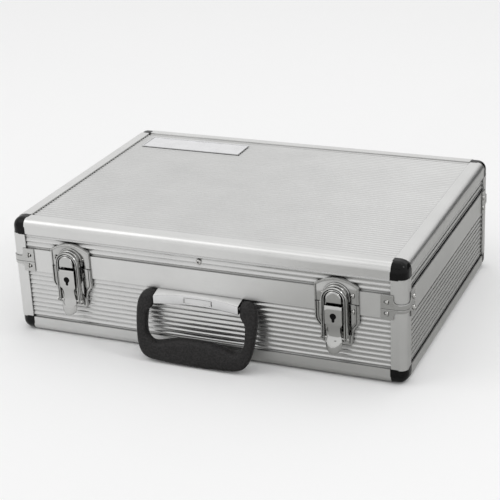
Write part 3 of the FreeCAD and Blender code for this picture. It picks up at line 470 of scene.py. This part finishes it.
def arc(centre, radius, up, steps):
    """A half circle over centre, from its left end to its right end."""
    turns = [math.pi * k / steps for k in range(steps + 1)]
    return [(centre - radius * math.cos(turn), up + radius * math.sin(turn)) for turn in turns]


def arch_path(centre, half, foot, crown):
    """Up one leg, round the crown and down the other."""
    middle = (foot + crown) / 2
    return [(centre - half, foot), (centre - half, middle), *arc(centre, half, crown, 14),
            (centre + half, middle), (centre + half, foot)]


def outline_rim(outline, width, low, high):
    """A raised bead that follows an open outline just inside its edge."""
    profile = [(0, low), (0.1, high - 0.25), (0.3, high),
               (width - 0.3, high), (width - 0.1, high - 0.25), (width, low)]
    return ridge_strip(outline, profile)


def join(parts):
    """One list of points and faces from several."""
    points, faces = [], []
    for more_points, more_faces in parts:
        base = len(points)
        points += more_points
        faces += [tuple(base + i for i in face) for face in more_faces]
    return points, faces


def bail(side, centre):
    """Arched loop with a double ridge, and the smooth dome inside its crown."""
    foot, crown = 47.2, 91.0
    strip = [(-1.9, 7.8), (-1.9, 10.6), (-1.5, 11.3), (-0.9, 11.5), (-0.35, 11.0), (0.0, 10.3),
             (0.35, 11.0), (0.9, 11.5), (1.5, 11.3), (1.9, 10.6), (1.9, 7.8)]
    loop = ridge_strip(arch_path(centre, 12.1, foot, crown), strip)
    inner = ridge_strip(arch_path(centre, 9.6, 88.0, crown),
                        [(-0.9, 7.8), (-0.9, 8.9), (0.9, 8.9), (0.9, 7.8)])
    half, bottom = 8.5, 88.4
    outline = [(centre - half, bottom), *arc(centre, half, 93.0, 14), (centre + half, bottom)]
    dome = loft(slab(outline, 7.9, 12.9, 1.8))
    points, faces = join([loop, inner, dome])
    piece(f"bail_{side}", points, faces, CHROME, f"bail_{side}", [f"latch_bail_{side}"],
          crease=40)


def lever(side, centre):
    """Lock face, waisted neck and rounded thumb tab, lofted downwards as a channel open at the back."""
    # height, half width, out, sheet depth, crown across the width
    rows = [(85.6, 9.1, 12.9, 8.2, 0.0), (84.6, 9.2, 13.6, 9.0, 0.0), (80, 9.2, 13.6, 9.0, 0.0),
            (72, 9.2, 13.6, 9.0, 0.0), (66.5, 9.2, 13.4, 9.0, 0.0), (65.2, 9.1, 13.3, 7.0, 0.0),
            (63.6, 7.6, 13.0, 5.4, 0.1), (61.5, 6.7, 12.5, 5.0, 0.2), (57, 6.4, 11.8, 4.6, 0.3),
            (52.5, 6.9, 11.6, 4.4, 0.4), (49.5, 8.0, 12.0, 3.4, 0.5), (47.5, 8.5, 13.4, 2.6, 0.6),
            (45.5, 8.6, 14.8, 2.2, 1.8), (42.5, 8.6, 15.8, 2.0, 2.6), (39.0, 8.1, 16.5, 1.9, 3.0),
            (36.2, 6.8, 16.8, 1.8, 2.6), (34.4, 4.9, 16.7, 1.6, 1.8), (33.4, 2.6, 16.4, 1.5, 0.8)]
    # the face's points run from -1 to 1 across; beyond edge_start it rounds back by edge_drop
    face_steps, edge_start, edge_drop = 12, 0.86, 0.55
    wall_inside, sheet, sheet_share = 0.87, 1.2, 0.6
    rings = []
    for up, half, out, deep, crown in rows:
        ring = []
        for k in range(face_steps + 1):
            across = -1 + 2 * k / face_steps
            edge = max(0.0, abs(across) - edge_start) / (1 - edge_start)
            level = out - crown * across * across - edge_drop * edge ** 2
            ring.append(front_point(centre + half * across, up, level))
        behind = out - deep
        inside = out - min(sheet, deep * sheet_share)
        for across, level in ((1, behind), (wall_inside, behind), (wall_inside, inside),
                              (-wall_inside, inside), (-wall_inside, behind), (-1, behind)):
            ring.append(front_point(centre + half * across, up, level - crown * across * across))
        rings.append(ring)
    points, faces = loft(rings, closed_ends=False)
    # each end is closed by the face's sheet and the two walls, so that the back stays open
    for start in (0, len(points) - len(rings[0])):
        for cap in ((*range(13), 15, 16), (12, 13, 14, 15), (16, 17, 18, 0)):
            face = tuple(start + i for i in cap)
            faces.append(face if start else tuple(reversed(face)))
    piece(f"lever_{side}", points, faces, CHROME, f"lever_{side}", [f"latch_lever_{side}"],
          crease=40)


def keyhole_shade(side, centre):
    """Near-black sheet in the keyhole's shape, painted shade standing for the dark inside the hole: a
    round mouth with a slot below it, that turns with the plug.
    """
    up = JOINTS[f"latch_{side}_lock"]["pos_m"][2] / MM
    mouth_radius, mouth_steps, mouth_start, mouth_sweep = 3.4, 24, -62, 304
    outline = []
    for k in range(mouth_steps + 1):
        turn = math.radians(mouth_start + mouth_sweep * k / mouth_steps)
        outline.append((centre + mouth_radius * math.cos(turn), up + mouth_radius * math.sin(turn)))
    outline += [(centre - 1.4, up - 5.8), (centre - 0.6, up - 6.6), (centre + 0.6, up - 6.6),
                (centre + 1.4, up - 5.8)]
    rings = slab(outline, 13.3, 13.75, 0.05)
    points, faces = loft([rings[0], rings[1], rings[-1]])
    piece(f"keyway_{side}", points, faces, KEYHOLE_SHADE, f"lock_{side}", [], crease=30)


def strike(side, centre):
    """Arched plate with a raised border, and the stepped keeper under the bail's crown."""
    low, high = (corner / MM for corner in map(Vector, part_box(f"strike_plate_{side}")))
    half, bottom, top, shoulder = (high.x - low.x) / 2, low.z, high.z, 103.5
    arch = [(centre + half * k / 12, top - (top - shoulder) * (k / 12) ** 2) for k in range(-12, 13)]
    outline = [(centre - half, bottom)] + arch + [(centre + half, bottom)]
    plate = loft(slab(outline, PLATE_BACK, 1.5, 0.5))
    inset_path = [(centre - half + 0.3, bottom + 0.4),
                  *((x * 0.99 + centre * 0.01, z - 0.3) for x, z in arch),
                  (centre + half - 0.3, bottom + 0.4)]
    border = outline_rim(inset_path, 1.7, 1.2, 2.3)

    keeper_half, keeper_foot = 12.6, 87.8
    keeper_outline = [(centre - keeper_half, keeper_foot), *arc(centre, keeper_half, 93.4, 16),
                      (centre + keeper_half, keeper_foot)]
    keeper = loft(slab(keeper_outline, 1.3, 7.2, 1.4))
    wide, tall = 1.13, 1.07
    step_outline = [(centre + (x - centre) * wide, keeper_foot + (z - keeper_foot) * tall)
                    for x, z in keeper_outline]
    step = loft(slab(step_outline, 1.3, 3.4, 0.8))
    points, faces = join([plate, border, keeper, step])
    piece(f"strike_{side}", points, faces, CHROME, "lid", [f"strike_plate_{side}"], crease=40)


def pin_ear(side, centre, way):
    """Upright ear of the base plate, round at its end, that holds the lever's pin."""
    pivot = JOINTS[f"latch_{side}_lever"]["pos_m"]
    up, out, half, root = pivot[2] / MM, (FRONT - pivot[1]) / MM, 1.5, 1.0
    outline = [(root, up - half), (out, up - half)]
    outline += [(out + half * math.sin(math.pi * k / 10), up - half * math.cos(math.pi * k / 10))
                for k in range(1, 10)]
    outline += [(out, up + half), (root, up + half)]
    return loft([[front_point(centre + way * x, z, depth) for depth, z in outline]
                 for x in (6.3, 6.4, 7.6, 7.7)])


def cam_lug(side, centre):
    """Hooked lug of the base plate that the lock's cam turns under."""
    up = JOINTS[f"latch_{side}_lock"]["pos_m"][2] / MM
    hook = [(6.1, 1.0), (7.2, 1.0), (7.2, 7.0), (4.0, 7.0), (4.0, 5.9), (6.1, 5.9)]
    return loft([[front_point(centre + x, up + rise, out) for x, out in hook]
                 for rise in (-1.6, -1.5, 1.5, 1.6)])


def base(side, centre):
    """Waisted base plate with a double raised border, ears for the pin and a lug for the cam."""
    high = Vector(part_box(f"latch_base_{side}")[1]) / MM
    right_side = smooth_curve([(23.9, high.z), (23.9, 74.0), (23.8, 66.0), (22.6, 62.5), (19.6, 58.6),
                               (17.4, 54.5), (16.7, 49.0), (16.4, 42.0), (15.6, 39.6), (13.4, 38.6)], 4)
    outline = [(centre + x, z) for x, z in right_side]
    outline += [(centre - x, z) for x, z in reversed(right_side)]
    parts = [loft(slab(outline, PLATE_BACK, 1.4, 0.5))]
    for inset, tall in ((0.4, 2.7), (3.0, 2.2)):
        for way in (1, -1):
            # the borders stop short of the rounded foot
            path = [(centre + way * (x - inset), z) for x, z in right_side[:-6]][::way]
            parts.append(outline_rim(path, 1.5, 1.1, tall))
    parts += [pin_ear(side, centre, way) for way in (1, -1)] + [cam_lug(side, centre)]
    points, faces = join(parts)
    piece(f"base_plate_{side}", points, faces, CHROME, "case_body", [f"latch_base_{side}"],
          crease=40)


def loose_boxes(mesh):
    """The box of each loose part of a mesh, with vertices at one place counted as joined."""
    neighbours = {vertex.index: set() for vertex in mesh.vertices}
    by_place = {}
    for vertex in mesh.vertices:
        by_place.setdefault(tuple(round(c, 5) for c in vertex.co), []).append(vertex.index)
    pairs = [(twins[0], other) for twins in by_place.values() for other in twins[1:]]
    for first, second in pairs + [tuple(edge.vertices) for edge in mesh.edges]:
        neighbours[first].add(second)
        neighbours[second].add(first)
    seen, boxes = set(), []
    for start in neighbours:
        if start in seen:
            continue
        stack, island = [start], []
        while stack:
            current = stack.pop()
            if current in seen:
                continue
            seen.add(current)
            island.append(mesh.vertices[current].co)
            stack.extend(neighbours[current] - seen)
        boxes.append((Vector([min(p[k] for p in island) for k in range(3)]),
                      Vector([max(p[k] for p in island) for k in range(3)])))
    return boxes


def rivet_heads(body, nodes):
    """Domed hollow rivets over each rivet solid of the CAD nodes, found from their loose parts."""
    for node in nodes:
        points, faces = join([rivet_dome(low, high) for low, high in loose_boxes(NODES[node].data)])
        piece(node + "_domed", points, faces, NICKEL, body, [node], crease=50)


def rivet_dome(low, high):
    """A lathe-turned rivet head on its shank, along whichever way the solid is shortest."""
    spans = high - low
    axis = 1 if abs(spans.x - spans.z) < 1e-5 else 0
    middle = (low + high) / 2
    outwards = 1 if middle[axis] > 0 else -1
    top = high[axis] if outwards > 0 else low[axis]
    radius = spans.z / 2
    sides = 20
    # share of the solid's radius, and millimetres above its top
    profile = [(0.57, -3.2), (0.57, -1.1), (1.1, -1.1), (1.08, -0.6), (0.96, 0.05), (0.76, 0.45),
               (0.58, 0.5), (0.46, 0.3), (0.4, -0.3), (0.36, -0.9), (0.1, -1.0)]
    rings = []
    for share, depth in profile:
        ring = []
        for k in range(sides):
            turn = math.tau * k / sides
            point = middle.copy()
            point[axis] = top + outwards * depth * MM
            point[1 - axis] += radius * share * math.cos(turn)
            point.z += radius * share * math.sin(turn)
            ring.append(point)
        rings.append(ring)
    return loft(rings)


def corner_cap_pieces():
    """Moulded caps with rounded outer corners, one over each corner of the shell."""
    for prefix, body, level, inward in (("lid", "lid", SHELL_HIGH.z / MM, -1),
                                        ("body", "case_body", 0.0, 1)):
        parts = []
        for way_x in (1, -1):
            for way_y in (1, -1):
                corner = (way_x * SHELL_HIGH.x / MM, way_y * SHELL_HIGH.y / MM, level)
                ways = (-way_x, -way_y, inward)
                parts += [cap_shell(corner, ways), cap_rim(corner, ways)]
        points, faces = join(parts)
        piece(prefix + "_caps_rounded", points, faces, CAP_PLASTIC, body, [f"{prefix}_corner_caps"],
              crease=60)


def cap_shell(corner, ways):
    """Three outer faces of a cube corner, drawn in to a rounded vertex and edges."""
    steps = 12
    mirrored = ways[0] * ways[1] * ways[2] < 0
    points, faces = [], []
    for flat in range(3):
        base = len(points)
        first, second = (axis for axis in range(3) if axis != flat)
        for i in range(steps + 1):
            for j in range(steps + 1):
                raw = [0.0, 0.0, 0.0]
                raw[first], raw[second] = CAP_LEG * i / steps, CAP_LEG * j / steps
                inner = Vector([max(value, CAP_RADIUS) for value in raw])
                rounded = inner + (Vector(raw) - inner).normalized() * CAP_RADIUS
                place = [(corner[k] + ways[k] * (rounded[k] - CAP_PROUD)) * MM for k in range(3)]
                points.append(Vector(place))
        for i in range(steps):
            for j in range(steps):
                a = base + i * (steps + 1) + j
                face = (a, a + steps + 1, a + steps + 2, a + 1)
                faces.append(tuple(reversed(face)) if (flat == 1) != mirrored else face)
    return points, faces


def cap_rim(corner, ways):
    """The inward returns at a cap's three open edges."""
    points, faces = [], []
    curve = [CAP_RADIUS * (1 - math.sin(math.pi * k / 16)) for k in range(9)]
    path = [(CAP_LEG, 0.0), *zip(curve, reversed(curve)), (0.0, CAP_LEG)]
    for flat in range(3):
        first, second = (axis for axis in range(3) if axis != flat)
        base = len(points)
        for u, v in path:
            for inset in (-CAP_PROUD, CAP_WALL):
                step = Vector((CAP_LEG - u, CAP_LEG - v)).normalized() * inset
                raw = [CAP_LEG] * 3
                raw[first], raw[second] = u + step.x, v + step.y
                points.append(Vector([(corner[k] + ways[k] * raw[k]) * MM for k in range(3)]))
        for i in range(len(path) - 1):
            faces.append((base + 2 * i, base + 2 * i + 2, base + 2 * i + 3, base + 2 * i + 1))
    return points, faces


def details():
    """All pieces that stand for CAD nodes."""
    corner_cap_pieces()
    handle_grip()
    bracket_cover()
    for side, centre in LATCH_X.items():
        centre /= MM
        bail(side, centre)
        lever(side, centre)
        keyhole_shade(side, centre)
        strike(side, centre)
        base(side, centre)
    rivet_heads("case_body", ["body_clip_rivets", "latch_base_rivets", "hinge_body_rivets"])
    rivet_heads("lid", ["lid_clip_rivets", "strike_rivets", "lid_front_rivet", "hinge_lid_rivets"])


# Studio

def stage_material(name, colour):
    """A dull surface with very faint clouds."""
    shader = Shader(name, colour, 0.0, 0.9)
    clouds = shader.noise(1.5)
    shader.feed("Base Color", shader.between(clouds, colour, [part * 0.99 for part in colour]))
    shader.surface.inputs["Specular IOR Level"].default_value = 0.1
    return shader.material


def plane(name, centre, width, height, facing, material):
    """A flat card whose face points along "facing"."""
    mesh = bpy.data.meshes.new(name)
    half_w, half_h = width / 2, height / 2
    corners = [(-half_w, -half_h, 0), (half_w, -half_h, 0), (half_w, half_h, 0), (-half_w, half_h, 0)]
    mesh.from_pydata(corners, [], [(0, 1, 2, 3)])
    mesh.materials.append(material)
    card = bpy.data.objects.new(name, mesh)
    card.location = centre
    card.rotation_mode = "QUATERNION"
    card.rotation_quaternion = Vector(facing).to_track_quat("Z", "Y")
    bpy.context.scene.collection.objects.link(card)
    return card


def area_light(name, place, size, power):
    """A rectangular lamp that faces the middle of the case."""
    data = bpy.data.lights.new(name, "AREA")
    data.shape = "RECTANGLE"
    data.size, data.size_y = size
    data.energy = power
    lamp = bpy.data.objects.new(name, data)
    lamp.location = place
    lamp.rotation_mode = "QUATERNION"
    lamp.rotation_quaternion = (Vector(place) - Vector((0, 0, 0.05))).to_track_quat("Z", "Y")
    bpy.context.scene.collection.objects.link(lamp)


def white_world():
    """White surroundings that light dull surfaces a little less than they are seen or reflected."""
    lighting_level, seen_level = 0.87, 1.0
    world = bpy.data.worlds.new("studio")
    bpy.context.scene.world = world
    world.use_nodes = True
    nodes, links = world.node_tree.nodes, world.node_tree.links
    background = nodes["Background"]
    background.inputs["Color"].default_value = (1, 1, 1, 1)
    path = nodes.new("ShaderNodeLightPath")
    seen = nodes.new("ShaderNodeMath")
    seen.operation = "MAXIMUM"
    links.new(path.outputs["Is Camera Ray"], seen.inputs[0])
    either = nodes.new("ShaderNodeMath")
    either.operation = "MAXIMUM"
    links.new(path.outputs["Is Glossy Ray"], either.inputs[0])
    links.new(path.outputs["Is Transmission Ray"], either.inputs[1])
    links.new(either.outputs[0], seen.inputs[1])
    level = nodes.new("ShaderNodeMapRange")
    level.inputs["To Min"].default_value = lighting_level
    level.inputs["To Max"].default_value = seen_level
    links.new(seen.outputs[0], level.inputs["Value"])
    links.new(level.outputs["Result"], background.inputs["Strength"])


def floor_shadow_card_material():
    """White to grey along the card, a painted shadow of the floor that only reflections show, so that
    metal that mirrors it grows darker to one side.
    """
    grey = (0.50, 0.50, 0.49)
    ramp_start, ramp_end = -0.45, -0.2
    shader = Shader("shaded_card", STAGE_WHITE, 0.0, 0.9)
    across = shader.nodes.new("ShaderNodeSeparateXYZ")
    shader.links.new(shader.place, across.inputs[0])
    ramp = shader.span(across.outputs["X"], 0, 1, ramp_start, ramp_end)
    shader.feed("Base Color", shader.between(ramp, STAGE_WHITE, grey))
    return shader.material


def studio():
    """Floor, cards that only reflections show, and lamps."""
    bpy.context.scene.view_settings.view_transform = "Standard"
    white_world()
    plane("floor", (0, 0, -0.0004), 12, 12, (0, 0, 1), stage_material("floor_white", (0.93,) * 3))
    dark = stage_material("dark_card", (0.02, 0.02, 0.02))
    floor_shadow_paint = floor_shadow_card_material()
    # name, centre, width, height, facing, material
    for card_row in (("card_front_left", (-1.9, -1.2, 0.35), 0.4, 0.7, (1, 1, 0), dark),
                     ("card_right", (0.85, 0.95, 0.24), 1.5, 0.5, (-0.5, -0.85, 0), dark),
                     # the low card on the floor is a painted shadow, seen only in reflections
                     ("card_low_right", (0.5, 0.1, 0.001), 1.0, 1.6, (0, 0, 1), floor_shadow_paint),
                     ("card_over_front", (0.3, -2.4, 1.9), 1.8, 0.35, (0, 1, -0.7), dark)):
        card = plane(*card_row)
        card.visible_camera = card.visible_diffuse = card.visible_shadow = False
    area_light("key", (-1.3, -0.9, 1.9), (1.2, 1.2), 5)
    area_light("side", (1.25, -0.1, 1.3), (0.25, 0.25), 2.5)
    area_light("top", (0.2, 0.7, 2.1), (1.8, 0.9), 2.5)


def camera():
    """The viewpoint solved from the straight edges of the case, with its slight roll."""
    azimuth, elevation, roll = (math.radians(angle) for angle in (23.665, 22.878, -2.72))
    distance = 1.629
    target = Vector((-0.0123, 0, 0.0546))
    back = Vector((math.sin(azimuth) * math.cos(elevation), -math.cos(azimuth) * math.cos(elevation),
                   math.sin(elevation)))
    right = Vector((0, 0, 1)).cross(back).normalized()
    up = back.cross(right)
    tilted_right = right * math.cos(roll) + up * math.sin(roll)
    tilted_up = up * math.cos(roll) - right * math.sin(roll)
    data = bpy.data.cameras.new("camera")
    data.lens = 101.45
    view = bpy.data.objects.new("camera", data)
    turn = Matrix((tilted_right, tilted_up, back)).transposed()
    view.matrix_world = Matrix.Translation(target + back * distance) @ turn.to_4x4()
    bpy.context.scene.collection.objects.link(view)
    bpy.context.scene.camera = view


finish_cad_nodes()
details()
studio()
camera()
